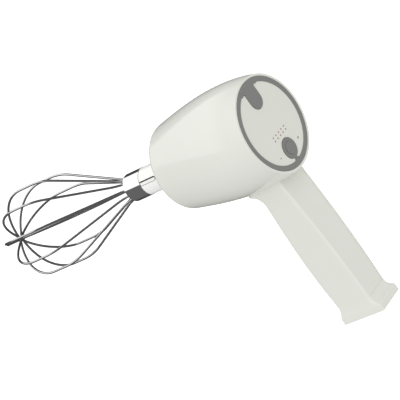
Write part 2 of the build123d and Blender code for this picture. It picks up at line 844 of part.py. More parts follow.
# ---- Whisk ----
plug_r = chuck_r - chuck_wall - run_fit
plug_length = 21.0
ferrule_start = chuck_end + gap
ferrule_end = ferrule_start + ferrule_length
core_end = ferrule_end - 3.4
groove_station = ferrule_start - plug_length + 2.5
groove_width = 1.6
groove_depth = 1.1
with BuildPart() as whisk_core:
    disc(ferrule_start - plug_length, plug_length, plug_r)
    disc(ferrule_start, core_end - ferrule_start, ferrule_r - ferrule_wall)
    with BuildSketch(face_plane.offset(groove_station)) as groove:
        Circle(plug_r)
        Circle(plug_r - groove_depth, mode=Mode.SUBTRACT)
    extrude(groove.sketch, amount=groove_width, mode=Mode.SUBTRACT)
    lug_length = slot_length - 1.5
    lug_shift = (slot_width - lug_width) / 2 - gap
    with BuildSketch(slot_plane.offset(plug_r - 1.0)) as lug:
        with Locations((chuck_end - lug_length / 2, lug_shift)):
            Rectangle(lug_length, lug_width)
    extrude(lug.sketch, amount=chuck_r - plug_r + 0.8)
save(whisk_core, "whisk_core")
with BuildPart() as whisk_oring:
    disc(groove_station, groove_width, plug_r, plug_r - groove_depth)
save(whisk_oring, "whisk_oring")
with BuildPart() as ferrule:
    disc(ferrule_start, ferrule_length, ferrule_r, ferrule_r - ferrule_wall)
save(ferrule, "ferrule")

crossing = ferrule_end + balloon_length - 0.3
wire_length = crossing - core_end
crown_round = 28.0
crown_angle = radians(70)
crown_height = 8.6       # where the crown's slope turns in to the rod
tip_round = 36.0
shoulder_round = 52.0
exit_round = 45.0


def wire_path(apex):
    """Centreline of one wire: station and radius, from the core to the tip hub."""
    return [
        (core_end, wire_exit_r),
        (core_end + 0.072 * wire_length, wire_exit_r),
        (core_end + 0.59 * wire_length, balloon_r),
        (apex - (balloon_r - crown_height) / tan(crown_angle), balloon_r),
        (apex, crown_height),
        (apex, tip_hub_r),
    ]


for index in range(wire_count):
    angle = radians(wire_azimuth) + 2 * pi * index / wire_count
    apex = crossing - wire_step * (index % 2)
    wire_plane = Plane(
        (rear_x, 0, axis_height), x_dir=(1, 0, 0), z_dir=(0, -sin(angle), cos(angle))
    )
    with BuildPart() as wire:
        with BuildLine(wire_plane) as route:
            FilletPolyline(
                *wire_path(apex), radius=[exit_round, shoulder_round, crown_round, tip_round]
            )
        with BuildSketch(Plane(route.line @ 0, z_dir=route.line % 0)):
            Circle(wire_r)
        sweep(path=route.line)
    save(wire, f"whisk_wire_{index + 1:02d}")

cap_length = 1.6
cap_overlap = 0.8
cap_round = 0.4
spigot_r = rod_r * 0.6
rod_end = crossing + rod_tip
with BuildPart() as centre_rod:
    disc(core_end, rod_end - cap_length - core_end, rod_r)
    disc(rod_end - cap_length, cap_overlap, spigot_r)
    disc(crossing - wire_step - wire_r - 0.1, wire_step + 2 * wire_r + 0.2, tip_hub_r)
save(centre_rod, "centre_rod")
with BuildPart() as rod_cap:
    disc(rod_end - cap_length, cap_length, rod_r)
    with BuildSketch(face_plane.offset(rod_end - cap_length)) as socket:
        Circle(spigot_r)
    extrude(socket.sketch, amount=cap_overlap, mode=Mode.SUBTRACT)
    fillet(rod_cap.edges().group_by(Axis.X)[-1], cap_round)
save(rod_cap, "rod_cap")
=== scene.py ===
import math

import bmesh
import bpy
from mathutils import Matrix, Vector


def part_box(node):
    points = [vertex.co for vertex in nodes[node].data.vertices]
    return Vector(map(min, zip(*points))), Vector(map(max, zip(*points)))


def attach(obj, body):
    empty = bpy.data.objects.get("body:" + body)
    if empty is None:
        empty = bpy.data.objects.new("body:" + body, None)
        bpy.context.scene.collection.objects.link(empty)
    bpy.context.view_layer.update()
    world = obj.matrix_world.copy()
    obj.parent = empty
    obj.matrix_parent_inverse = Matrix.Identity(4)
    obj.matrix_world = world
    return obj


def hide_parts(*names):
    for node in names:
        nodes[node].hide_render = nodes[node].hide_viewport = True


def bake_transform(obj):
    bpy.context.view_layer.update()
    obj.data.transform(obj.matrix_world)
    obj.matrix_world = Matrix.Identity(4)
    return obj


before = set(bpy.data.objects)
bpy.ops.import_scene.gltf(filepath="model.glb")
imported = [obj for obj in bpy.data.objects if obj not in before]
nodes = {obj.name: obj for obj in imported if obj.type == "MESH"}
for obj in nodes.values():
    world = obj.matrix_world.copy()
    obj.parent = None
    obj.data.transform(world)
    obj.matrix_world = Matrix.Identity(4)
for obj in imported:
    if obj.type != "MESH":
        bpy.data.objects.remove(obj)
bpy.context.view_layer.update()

mm = 0.001

# The axis height and the rear face are read from the trim ring.
ringLow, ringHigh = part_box("trim_ring")
axisHeight = (ringLow.z + ringHigh.z) / 2
rearX = ringLow.x


def log(text):
    print("mixer:", text)


# Where the camera stands and how it is turned, in metres and degrees.
cameraPlace = {
    "aim": (0.0624, 0.0095, 0.1248),
    "azimuth": 221.81,
    "elevation": 13.65,
    "roll": -35.91,
    "distance": 1.845,
    "lens": 240.1,
}


def makeCamera(place):
    azimuth = math.radians(place["azimuth"])
    elevation = math.radians(place["elevation"])
    roll = math.radians(place["roll"])
    back = Vector((
        math.sin(azimuth) * math.cos(elevation),
        -math.cos(azimuth) * math.cos(elevation),
        math.sin(elevation),
    ))
    level = Vector((0, 0, 1)).cross(back).normalized()
    upright = back.cross(level)
    right = level * math.cos(roll) + upright * math.sin(roll)
    up = back.cross(right)
    data = bpy.data.cameras.new("camera")
    data.lens = place["lens"]
    data.sensor_width = 36.0
    data.clip_end = 20.0
    camera = bpy.data.objects.new("camera", data)
    bpy.context.scene.collection.objects.link(camera)
    turn = Matrix((right, up, back)).transposed().to_4x4()
    camera.matrix_world = Matrix.Translation(Vector(place["aim"]) + back * place["distance"]) @ turn
    bpy.context.scene.camera = camera


makeCamera(cameraPlace)
log("camera placed")


def addNode(tree, kind, place=(0, 0), **values):
    node = tree.nodes.new(kind)
    node.location = place
    for name, value in values.items():
        if hasattr(node, name):
            setattr(node, name, value)
        else:
            node.inputs[name.replace("_", " ")].default_value = value
    return node


def newMaterial(name):
    material = bpy.data.materials.new(name)
    material.use_nodes = True
    tree = material.node_tree
    tree.nodes.clear()
    out = addNode(tree, "ShaderNodeOutputMaterial", (600, 0))
    shader = addNode(tree, "ShaderNodeBsdfPrincipled", (300, 0))
    tree.links.new(shader.outputs["BSDF"], out.inputs["Surface"])
    return material, tree, shader


def newGroup(name, inputs, outputs):
    group = bpy.data.node_groups.new(name, "ShaderNodeTree")
    for label, kind, value in inputs:
        socket = group.interface.new_socket(label, in_out="INPUT", socket_type=kind)
        socket.default_value = value
    for label, kind in outputs:
        group.interface.new_socket(label, in_out="OUTPUT", socket_type=kind)
    groupIn = addNode(group, "NodeGroupInput", (-800, 0))
    groupOut = addNode(group, "NodeGroupOutput", (600, 0))
    return group, groupIn, groupOut


# Fine moulding grain, with a slow drift of tone and gloss, for every moulded surface.
def buildMouldedGrain():
    group, groupIn, groupOut = newGroup(
        "mouldedGrain",
        [
            ("Light Tone", "NodeSocketColor", (0.8, 0.8, 0.8, 1)),
            ("Deep Tone", "NodeSocketColor", (0.7, 0.7, 0.7, 1)),
            ("Grain Size", "NodeSocketFloat", 900.0),
            ("Drift Size", "NodeSocketFloat", 14.0),
            ("Gloss Low", "NodeSocketFloat", 0.15),
            ("Gloss High", "NodeSocketFloat", 0.25),
        ],
        [
            ("Color", "NodeSocketColor"),
            ("Roughness", "NodeSocketFloat"),
            ("Height", "NodeSocketFloat"),
        ],
    )
    links = group.links
    place = addNode(group, "ShaderNodeTexCoord", (-800, -300))
    grain = addNode(group, "ShaderNodeTexNoise", (-500, -200), Detail=3.0, Roughness=0.6)
    drift = addNode(group, "ShaderNodeTexNoise", (-500, 100), Detail=4.0, Roughness=0.55)
    speck = addNode(group, "ShaderNodeTexVoronoi", (-500, -450))
    links.new(place.outputs["Object"], grain.inputs["Vector"])
    links.new(place.outputs["Object"], drift.inputs["Vector"])
    links.new(place.outputs["Object"], speck.inputs["Vector"])
    links.new(groupIn.outputs["Grain Size"], grain.inputs["Scale"])
    links.new(groupIn.outputs["Grain Size"], speck.inputs["Scale"])
    links.new(groupIn.outputs["Drift Size"], drift.inputs["Scale"])
    tone = addNode(group, "ShaderNodeMix", (-100, 200), data_type="RGBA")
    spread = addNode(group, "ShaderNodeMapRange", (-300, 100))
    spread.inputs["From Min"].default_value = 0.3
    spread.inputs["From Max"].default_value = 0.7
    links.new(drift.outputs["Fac"], spread.inputs["Value"])
    links.new(spread.outputs["Result"], tone.inputs["Factor"])
    links.new(groupIn.outputs["Light Tone"], tone.inputs["A"])
    links.new(groupIn.outputs["Deep Tone"], tone.inputs["B"])
    links.new(tone.outputs["Result"], groupOut.inputs["Color"])
    blur = addNode(group, "ShaderNodeMapRange", (-100, -50))
    mixed = addNode(group, "ShaderNodeMath", (-300, -100), operation="MULTIPLY_ADD")
    mixed.inputs[1].default_value = 0.5
    links.new(grain.outputs["Fac"], mixed.inputs[0])
    half = addNode(group, "ShaderNodeMath", (-400, 0), operation="MULTIPLY")
    half.inputs[1].default_value = 0.5
    links.new(drift.outputs["Fac"], half.inputs[0])
    links.new(half.outputs["Value"], mixed.inputs[2])
    links.new(mixed.outputs["Value"], blur.inputs["Value"])
    links.new(groupIn.outputs["Gloss Low"], blur.inputs["To Min"])
    links.new(groupIn.outputs["Gloss High"], blur.inputs["To Max"])
    links.new(blur.outputs["Result"], groupOut.inputs["Roughness"])
    pits = addNode(group, "ShaderNodeMath", (-200, -400), operation="MULTIPLY_ADD")
    pits.inputs[1].default_value = 0.4
    links.new(speck.outputs["Distance"], pits.inputs[0])
    links.new(grain.outputs["Fac"], pits.inputs[2])
    links.new(pits.outputs["Value"], groupOut.inputs["Height"])
    return group


# Long fine scratches along the barrel axis and a soft smear of gloss, for drawn and plated metal.
def buildDrawnMetal():
    group, groupIn, groupOut = newGroup(
        "drawnMetal",
        [
            ("Bright", "NodeSocketColor", (0.8, 0.8, 0.8, 1)),
            ("Dull", "NodeSocketColor", (0.6, 0.6, 0.6, 1)),
            ("Line Density", "NodeSocketFloat", 2500.0),
            ("Stretch", "NodeSocketFloat", 0.03),
            ("Polish Low", "NodeSocketFloat", 0.08),
            ("Polish High", "NodeSocketFloat", 0.2),
        ],
        [
            ("Color", "NodeSocketColor"),
            ("Roughness", "NodeSocketFloat"),
            ("Height", "NodeSocketFloat"),
        ],
    )
    links = group.links
    place = addNode(group, "ShaderNodeTexCoord", (-900, -300))
    split = addNode(group, "ShaderNodeSeparateXYZ", (-750, -300))
    squeeze = addNode(group, "ShaderNodeMath", (-600, -250), operation="MULTIPLY")
    join = addNode(group, "ShaderNodeCombineXYZ", (-450, -300))
    links.new(place.outputs["Object"], split.inputs["Vector"])
    links.new(split.outputs["X"], squeeze.inputs[0])
    links.new(groupIn.outputs["Stretch"], squeeze.inputs[1])
    links.new(squeeze.outputs["Value"], join.inputs["X"])
    links.new(split.outputs["Y"], join.inputs["Y"])
    links.new(split.outputs["Z"], join.inputs["Z"])
    lines = addNode(group, "ShaderNodeTexNoise", (-300, -200), Detail=2.0)
    smear = addNode(group, "ShaderNodeTexNoise", (-300, 100), Scale=60.0, Detail=3.0)
    links.new(join.outputs["Vector"], lines.inputs["Vector"])
    links.new(place.outputs["Object"], smear.inputs["Vector"])
    links.new(groupIn.outputs["Line Density"], lines.inputs["Scale"])
    tone = addNode(group, "ShaderNodeMix", (0, 200), data_type="RGBA")
    links.new(smear.outputs["Fac"], tone.inputs["Factor"])
    links.new(groupIn.outputs["Bright"], tone.inputs["A"])
    links.new(groupIn.outputs["Dull"], tone.inputs["B"])
    links.new(tone.outputs["Result"], groupOut.inputs["Color"])
    blur = addNode(group, "ShaderNodeMapRange", (0, -50))
    both = addNode(group, "ShaderNodeMath", (-120, -50), operation="MULTIPLY")
    links.new(lines.outputs["Fac"], both.inputs[0])
    links.new(smear.outputs["Fac"], both.inputs[1])
    links.new(both.outputs["Value"], blur.inputs["Value"])
    blur.inputs["From Max"].default_value = 0.5
    links.new(groupIn.outputs["Polish Low"], blur.inputs["To Min"])
    links.new(groupIn.outputs["Polish High"], blur.inputs["To Max"])
    links.new(blur.outputs["Result"], groupOut.inputs["Roughness"])
    links.new(lines.outputs["Fac"], groupOut.inputs["Height"])
    return group


mouldedGrain = buildMouldedGrain()
drawnMetal = buildDrawnMetal()


def addBump(tree, shader, height, strength, distance):
    bump = addNode(tree, "ShaderNodeBump", (50, -300), Strength=strength, Distance=distance)
    tree.links.new(height, bump.inputs["Height"])
    tree.links.new(bump.outputs["Normal"], shader.inputs["Normal"])


# What every plastic shares unless its own look says otherwise.
plasticBase = {
    "grain": 900.0,
    "drift": 14.0,
    "depth": 0.2 * mm,
    "ior": 1.46,
    "paintedGlowTint": (1, 1, 0.98, 1),
}


def moulded(name, look):
    look = {**plasticBase, **look}
    material, tree, shader = newMaterial(name)
    grain = addNode(tree, "ShaderNodeGroup", (-100, 0), node_tree=mouldedGrain)
    grain.inputs["Light Tone"].default_value = (*look["light"], 1)
    grain.inputs["Deep Tone"].default_value = (*look["deep"], 1)
    grain.inputs["Grain Size"].default_value = look["grain"]
    grain.inputs["Drift Size"].default_value = look["drift"]
    grain.inputs["Gloss Low"].default_value = look["gloss"][0]
    grain.inputs["Gloss High"].default_value = look["gloss"][1]
    tree.links.new(grain.outputs["Color"], shader.inputs["Base Color"])
    tree.links.new(grain.outputs["Roughness"], shader.inputs["Roughness"])
    addBump(tree, shader, grain.outputs["Height"], look["bump"], look["depth"])
    shader.inputs["IOR"].default_value = plasticBase["ior"]
    # A painted glow: emission that brightens a part which is no lamp.
    if "paintedGlow" in look:
        shader.inputs["Emission Color"].default_value = look["paintedGlowTint"]
        shader.inputs["Emission Strength"].default_value = look["paintedGlow"]
    return material


metalDepth = 0.1 * mm  # depth of the drawn scratches


def metal(name, look):
    material, tree, shader = newMaterial(name)
    drawn = addNode(tree, "ShaderNodeGroup", (-100, 0), node_tree=drawnMetal)
    drawn.inputs["Bright"].default_value = (*look["bright"], 1)
    drawn.inputs["Dull"].default_value = (*look["dull"], 1)
    drawn.inputs["Polish Low"].default_value = look["polish"][0]
    drawn.inputs["Polish High"].default_value = look["polish"][1]
    tree.links.new(drawn.outputs["Color"], shader.inputs["Base Color"])
    tree.links.new(drawn.outputs["Roughness"], shader.inputs["Roughness"])
    addBump(tree, shader, drawn.outputs["Height"], look["bump"], metalDepth)
    shader.inputs["Metallic"].default_value = 1.0
    return material


materials = {
    "shell": moulded("shellPlastic", {
        "light": (0.845, 0.85, 0.79), "deep": (0.82, 0.827, 0.765), "gloss": (0.09, 0.14), "grain": 700.0,
        "bump": 0.012,
    }),
    "panel": moulded("panelPlastic", {
        "light": (0.82, 0.828, 0.76), "deep": (0.8, 0.808, 0.74), "gloss": (0.28, 0.4), "bump": 0.04,
    }),
    # The chuck's small emission is a painted glow that brightens it, though it is no lamp.
    "chuckWhite": moulded("chuckWhite", {
        "light": (0.97, 0.97, 0.95), "deep": (0.95, 0.95, 0.93), "gloss": (0.12, 0.2), "bump": 0.03,
        "paintedGlow": 0.06,
    }),
    "softTrim": moulded("softTrim", {
        "light": (0.262, 0.26, 0.25), "deep": (0.236, 0.235, 0.228), "gloss": (0.5, 0.65), "grain": 2200.0,
        "bump": 0.12,
    }),
    "innerPlastic": moulded("innerPlastic", {
        "light": (0.05, 0.05, 0.052), "deep": (0.035, 0.035, 0.036), "gloss": (0.35, 0.5), "bump": 0.15,
    }),
    "gearPlastic": moulded("gearPlastic", {
        "light": (0.82, 0.8, 0.72), "deep": (0.76, 0.74, 0.66), "gloss": (0.3, 0.42), "bump": 0.05,
    }),
    "board": moulded("boardMask", {
        "light": (0.02, 0.16, 0.06), "deep": (0.015, 0.11, 0.045), "gloss": (0.2, 0.35), "grain": 500.0,
        "bump": 0.1,
    }),
    "wrap": moulded("cellWrap", {
        "light": (0.08, 0.2, 0.42), "deep": (0.06, 0.16, 0.36), "gloss": (0.15, 0.25), "bump": 0.03,
    }),
    "seal": moulded("sealRubber", {
        "light": (0.03, 0.03, 0.03), "deep": (0.02, 0.02, 0.02), "gloss": (0.55, 0.7), "bump": 0.15,
    }),
    "lamp": moulded("lampDot", {
        "light": (0.5, 0.2, 0.16), "deep": (0.38, 0.17, 0.14), "gloss": (0.2, 0.3), "drift": 160.0,
        "bump": 0.03,
    }),
    "ink": moulded("signInk", {
        "light": (0.25, 0.24, 0.22), "deep": (0.2, 0.19, 0.18), "gloss": (0.4, 0.5), "bump": 0.05,
    }),
    "chrome": metal("ferruleChrome", {
        "bright": (0.93, 0.93, 0.93), "dull": (0.88, 0.88, 0.88), "polish": (0.03, 0.08), "bump": 0.01,
    }),
    "wire": metal("wireSteel", {
        "bright": (0.74, 0.74, 0.74), "dull": (0.62, 0.62, 0.62), "polish": (0.04, 0.1), "bump": 0.01,
    }),
    "steel": metal("plainSteel", {
        "bright": (0.62, 0.62, 0.63), "dull": (0.5, 0.5, 0.51), "polish": (0.22, 0.4), "bump": 0.05,
    }),
    "brass": metal("brassContact", {
        "bright": (0.8, 0.62, 0.3), "dull": (0.7, 0.52, 0.24), "polish": (0.2, 0.35), "bump": 0.05,
    }),
}


# The whisk's core carries painted shade: it is dark inside the chuck so the slot's gaps read as shadow,
# and the drive lug and the mouth that stand out of it are white.
coreLook = {
    "light": (0.96, 0.96, 0.94, 1),
    "deep": (0.93, 0.93, 0.91, 1),
    "gapShade": (0.03, 0.03, 0.03, 1),
    "gloss": (0.15, 0.25),
    "bump": 0.03,
    "gapShadeReach": 0.15 * mm,  # past the O-ring's outside
    "mouthSetBack": 1 * mm,  # ahead of the ferrule's rear edge
}


def makeCoreMaterial(name, look):
    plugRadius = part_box("whisk_oring")[1].y + look["gapShadeReach"]
    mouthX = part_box("ferrule")[0].x + look["mouthSetBack"]
    material, tree, shader = newMaterial(name)
    grain = addNode(tree, "ShaderNodeGroup", (-400, 200), node_tree=mouldedGrain)
    grain.inputs["Light Tone"].default_value = look["light"]
    grain.inputs["Deep Tone"].default_value = look["deep"]
    grain.inputs["Gloss Low"].default_value = look["gloss"][0]
    grain.inputs["Gloss High"].default_value = look["gloss"][1]
    place = addNode(tree, "ShaderNodeTexCoord", (-1000, -100))
    split = addNode(tree, "ShaderNodeSeparateXYZ", (-850, -100))
    tree.links.new(place.outputs["Object"], split.inputs["Vector"])
    flat = addNode(tree, "ShaderNodeCombineXYZ", (-700, -100))
    lower = addNode(tree, "ShaderNodeMath", (-850, -250), operation="SUBTRACT")
    lower.inputs[1].default_value = axisHeight
    tree.links.new(split.outputs["Z"], lower.inputs[0])
    tree.links.new(split.outputs["Y"], flat.inputs["Y"])
    tree.links.new(lower.outputs["Value"], flat.inputs["Z"])
    size = addNode(tree, "ShaderNodeVectorMath", (-550, -100), operation="LENGTH")
    tree.links.new(flat.outputs["Vector"], size.inputs[0])
    outside = addNode(tree, "ShaderNodeMath", (-400, -100), operation="GREATER_THAN")
    outside.inputs[1].default_value = plugRadius
    tree.links.new(size.outputs["Value"], outside.inputs[0])
    mouth = addNode(tree, "ShaderNodeMath", (-400, -250), operation="GREATER_THAN")
    mouth.inputs[1].default_value = mouthX
    tree.links.new(split.outputs["X"], mouth.inputs[0])
    either = addNode(tree, "ShaderNodeMath", (-250, -150), operation="MAXIMUM")
    tree.links.new(outside.outputs["Value"], either.inputs[0])
    tree.links.new(mouth.outputs["Value"], either.inputs[1])
    # Painted shade: dark inside the plug radius and behind the mouth, standing in for the shadow in the
    # slot's gaps.
    tone = addNode(tree, "ShaderNodeMix", (-100, 100), data_type="RGBA")
    tone.inputs["A"].default_value = look["gapShade"]
    tree.links.new(either.outputs["Value"], tone.inputs["Factor"])
    tree.links.new(grain.outputs["Color"], tone.inputs["B"])
    tree.links.new(tone.outputs["Result"], shader.inputs["Base Color"])
    tree.links.new(grain.outputs["Roughness"], shader.inputs["Roughness"])
    addBump(tree, shader, grain.outputs["Height"], look["bump"], plasticBase["depth"])
    return material


materials["corePaintedGapShade"] = makeCoreMaterial("corePaintedGapShade", coreLook)
log("materials built")

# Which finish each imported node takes.
nodeFinish = {
    "shell": ["barrel_shell", "grip_shell", "grip_back", "foot_cap"],
    "panel": ["face_panel"],
    "chuckWhite": ["chuck"],
    "corePaintedGapShade": ["whisk_core"],
    "softTrim": ["trim_ring", "upper_button", "power_button"],
    "innerPlastic": [
        "board_frame", "motor_bracket", "gear_cover", "nose_bulkhead", "cell_cradle", "gear_housing",
        "planet_carrier", "motor_cap", "upper_switch", "power_switch", "upper_plunger",
        "power_plunger", "led_array",
    ],
    "gearPlastic": ["planet_gear_1", "planet_gear_2", "planet_gear_3", "light_pipe"],
    "board": ["control_board", "charge_board"],
    "wrap": ["battery_cell"],
    "brass": ["contact_bottom", "contact_top", "front_bearing", "rear_bearing"],
    "chrome": ["ferrule"],
    "seal": ["shaft_seal", "whisk_oring", "rod_cap"],
}
finishOf = {node: finish for finish, names in nodeFinish.items() for node in names}
for name, node in nodes.items():
    finish = finishOf.get(name, "wire" if name.startswith(("whisk_wire", "centre_rod")) else "steel")
    node.data.materials.clear()
    node.data.materials.append(materials[finish])
log("packed nodes finished")


# A point on the rear control face, out being how far it stands off it.
def facePoint(across, up, out=0.0):
    return Vector((rearX - out, across, axisHeight + up))


def meshPiece(name, vertices, faces, finish, body, slot):
    mesh = bpy.data.meshes.new(name)
    mesh.from_pydata([tuple(vertex) for vertex in vertices], [], faces)
    mesh.validate()
    shape = bmesh.new()
    shape.from_mesh(mesh)
    bmesh.ops.recalc_face_normals(shape, faces=shape.faces)
    shape.to_mesh(mesh)
    shape.free()
    for polygon in mesh.polygons:
        polygon.use_smooth = True
    piece = bpy.data.objects.new(name, mesh)
    bpy.context.scene.collection.objects.link(piece)
    mesh.materials.append(materials[finish])
    if body:
        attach(piece, body)
    return piece


def tubeAlong(path, radius, sides):
    vertices, faces = [], []
    side = None
    count = len(path)
    for index, point in enumerate(path):
        before = path[max(index - 1, 0)]
        after = path[min(index + 1, count - 1)]
        heading = (after - before).normalized()
        if side is None:
            side = heading.orthogonal().normalized()
        side = (side - heading * side.dot(heading)).normalized()
        other = heading.cross(side)
        for step in range(sides):
            angle = 2 * math.pi * step / sides
            vertices.append(point + (side * math.cos(angle) + other * math.sin(angle)) * radius)
    for index in range(count - 1):
        for step in range(sides):
            nextStep = (step + 1) % sides
            low, high = index * sides, (index + 1) * sides
            faces.append((low + step, low + nextStep, high + nextStep, high + step))
    faces.append(tuple(range(sides)))
    faces.append(tuple((count - 1) * sides + step for step in reversed(range(sides))))
    return vertices, faces


# Whisk wires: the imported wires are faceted, so smooth ones stand for them on the same lines.
wireLook = {
    "count": 10,
    "radius": 0.9 * mm,
    "azimuth": 19.0,
    "exit": 7.3 * mm,
    "widest": 33.6 * mm,
    "crown": 8.6 * mm,
    "hub": 1.9 * mm,
    "crownAngle": 70.0,
    "rounds": (45 * mm, 52 * mm, 28 * mm, 36 * mm),
    "arcSteps": 12,
    "sides": 14,
    "straightShare": 0.072,  # of the full length, before the wire leaves the axis
    "flareShare": 0.59,  # of the full length, where it is widest
    "skin": 0.995,  # of the radius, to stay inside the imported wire
}


def roundedPath(corners, rounds, steps):
    points = [Vector(corners[0])]
    for index, radius in enumerate(rounds, start=1):
        corner = Vector(corners[index])
        back = (Vector(corners[index - 1]) - corner).normalized()
        ahead = (Vector(corners[index + 1]) - corner).normalized()
        half = math.acos(max(-1.0, min(1.0, back.dot(ahead)))) / 2
        reach = radius / math.tan(half)
        middle = corner + (back + ahead).normalized() * (radius / math.sin(half))
        start = corner + back * reach - middle
        end = corner + ahead * reach - middle
        sweep = start.angle(end)
        for step in range(steps + 1):
            share = step / steps
            blend = (
                start * math.sin((1 - share) * sweep) + end * math.sin(share * sweep)
            ) / math.sin(sweep)
            points.append(middle + blend)
    points.append(Vector(corners[-1]))
    return points


def makeWires(look):
    fall = (look["widest"] - look["crown"]) / math.tan(math.radians(look["crownAngle"]))
    for index in range(look["count"]):
        name = f"whisk_wire_{index + 1:02d}"
        low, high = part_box(name)
        start, apex = low.x, high.x - look["radius"]
        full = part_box("whisk_wire_01")[1].x - look["radius"] - start
        corners = [
            (start, look["exit"]),
            (start + look["straightShare"] * full, look["exit"]),
            (start + look["flareShare"] * full, look["widest"]),
            (apex - fall, look["widest"]),
            (apex, look["crown"]),
            (apex, look["hub"]),
        ]
        flat = roundedPath([(x, r, 0) for x, r in corners], look["rounds"], look["arcSteps"])
        angle = math.radians(look["azimuth"]) + 2 * math.pi * index / look["count"]
        path = [
            Vector((p.x, p.y * math.cos(angle), axisHeight + p.y * math.sin(angle))) for p in flat
        ]
        vertices, faces = tubeAlong(path, look["radius"] * look["skin"], look["sides"])
        piece = meshPiece(f"wire_{index + 1:02d}", vertices, faces, "wire", None, "steel")
        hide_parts(name)
        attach(piece, "whisk")


makeWires(wireLook)
log("wires drawn")


# Small lamps and plus and minus marks, printed on the control face.
markLook = {
    "lampRadius": 0.62 * mm,
    "lampPitch": 4.07 * mm,
    "lampRows": (-7.35 * mm, -10.0 * mm),
    "lampCount": 5,
    "signAcross": 13.7 * mm,
    "signUp": -20.8 * mm,
    "signLength": 2.2 * mm,
    "signWidth": 0.45 * mm,
    "panelRecess": 0.5 * mm,
    "proud": 0.02 * mm,
}


def discFan(across, up, out, radius, sides=20):
    vertices = [facePoint(across, up, out)]
    for step in range(sides):
        angle = 2 * math.pi * step / sides
        vertices.append(
            facePoint(across + radius * math.cos(angle), up + radius * math.sin(angle), out)
        )
    faces = [(0, 1 + step, 1 + (step + 1) % sides) for step in range(sides)]
    return vertices, faces


def ribbon(points, width, out):
    vertices, faces = [], []
    count = len(points)
    for index, (across, up) in enumerate(points):
        before = points[max(index - 1, 0)]
        after = points[min(index + 1, count - 1)]
        along = Vector((after[0] - before[0], after[1] - before[1], 0)).normalized()
        for sign in (-0.5, 0.5):
            vertices.append(
                facePoint(across - along.y * width * sign, up + along.x * width * sign, out)
            )
    for index in range(count - 1):
        base = 2 * index
        faces.append((base, base + 1, base + 3, base + 2))
    return vertices, faces


def joinShapes(shapes):
    vertices, faces = [], []
    for more, moreFaces in shapes:
        shift = len(vertices)
        vertices += more
        faces += [tuple(shift + corner for corner in face) for face in moreFaces]
    return vertices, faces


def makeMarks(look):
    out = look["proud"] - look["panelRecess"]
    lamps = []
    for up in look["lampRows"]:
        for index in range(look["lampCount"]):
            across = (index - (look["lampCount"] - 1) / 2) * look["lampPitch"]
            lamps.append(discFan(across, up, out, look["lampRadius"]))
    meshPiece("lampDots", *joinShapes(lamps), "lamp", "housing", "lens_plastic")
    half = look["signLength"] / 2
    minus = ribbon(
        [(look["signAcross"] - half, look["signUp"]), (look["signAcross"] + half, look["signUp"])],
        look["signWidth"],
        out,
    )
    plusAcross = ribbon(
        [(-look["signAcross"] - half, look["signUp"]), (-look["signAcross"] + half, look["signUp"])],
        look["signWidth"],
        out,
    )
    plusUp = ribbon(
        [(-look["signAcross"], look["signUp"] - half), (-look["signAcross"], look["signUp"] + half)],
        look["signWidth"],
        out + look["proud"] / 2,
    )
    meshPiece("signMarks", *joinShapes([minus, plusAcross, plusUp]), "ink", "housing", "grey_trim")


makeMarks(markLook)
log("marks printed")


# Soft webs that carry each button's root across its gap to the ring.
webLook = {
    "inner": 29.35 * mm,
    "outer": 30.9 * mm,
    "depth": 0.5 * mm,
    "setBack": 0.02 * mm,
    "rings": 6,
    "columns": 24,
    "upperHalfAngle": 20.5,
    "powerHalfAngle": 4.6,
}


def makeWeb(name, look, up, halfAngle):
    vertices, faces = [], []
    rows, columns = look["rings"], look["columns"]
    for layer in (0, 1):
        for row in range(rows + 1):
            radius = look["outer"] + (look["inner"] - look["outer"]) * row / rows
            for column in range(columns + 1):
                angle = math.radians(halfAngle) * (2 * column / columns - 1)
                vertices.append(
                    facePoint(
                        radius * math.sin(angle),
                        up * radius * math.cos(angle),
                        -look["setBack"] - layer * look["depth"],
                    )
                )
    across = columns + 1
    layerSize = (rows + 1) * across
    for row in range(rows):
        for column in range(columns):
            corner = row * across + column
            quad = (corner, corner + 1, corner + across + 1, corner + across)
            faces.append(quad)
            faces.append(tuple(layerSize + point for point in reversed(quad)))
    rim = list(range(across))
    rim += [row * across + columns for row in range(1, rows + 1)]
    rim += [rows * across + column for column in reversed(range(columns))]
    rim += [row * across for row in reversed(range(1, rows))]
    for index, point in enumerate(rim):
        other = rim[(index + 1) % len(rim)]
        faces.append((point, layerSize + point, layerSize + other, other))
    piece = meshPiece(name, vertices, faces, "softTrim", None, "grey_trim")
    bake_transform(piece)


makeWeb("upperWeb", webLook, 1, webLook["upperHalfAngle"])
makeWeb("powerWeb", webLook, -1, webLook["powerHalfAngle"])
log("button webs joined")


# Plain pale floor and soft light from all round.
studio = {
    "floorSize": 6.0,
    "floorGlow": 0.42,
    "softbox": 1.15,
    "behind": 0.06,
    "below": 0.13,
    "cameraWhite": 1.0,
    "fill": 0.71,
    "key": 0.47,
    "keyToward": (-0.426, 0.615, 0.663),
    "softboxFrom": 0.4,
    "softboxFull": 0.6,
    "softboxTilt": (0, 0.3455, 1),
    "softboxEdge": (0.43, 0.45),
    "sideFade": (-0.45, 0.1),  # sideways span over which behind turns into below
    "paper": ((0.93, 0.93, 0.93, 1), (0.96, 0.96, 0.96, 1)),
}


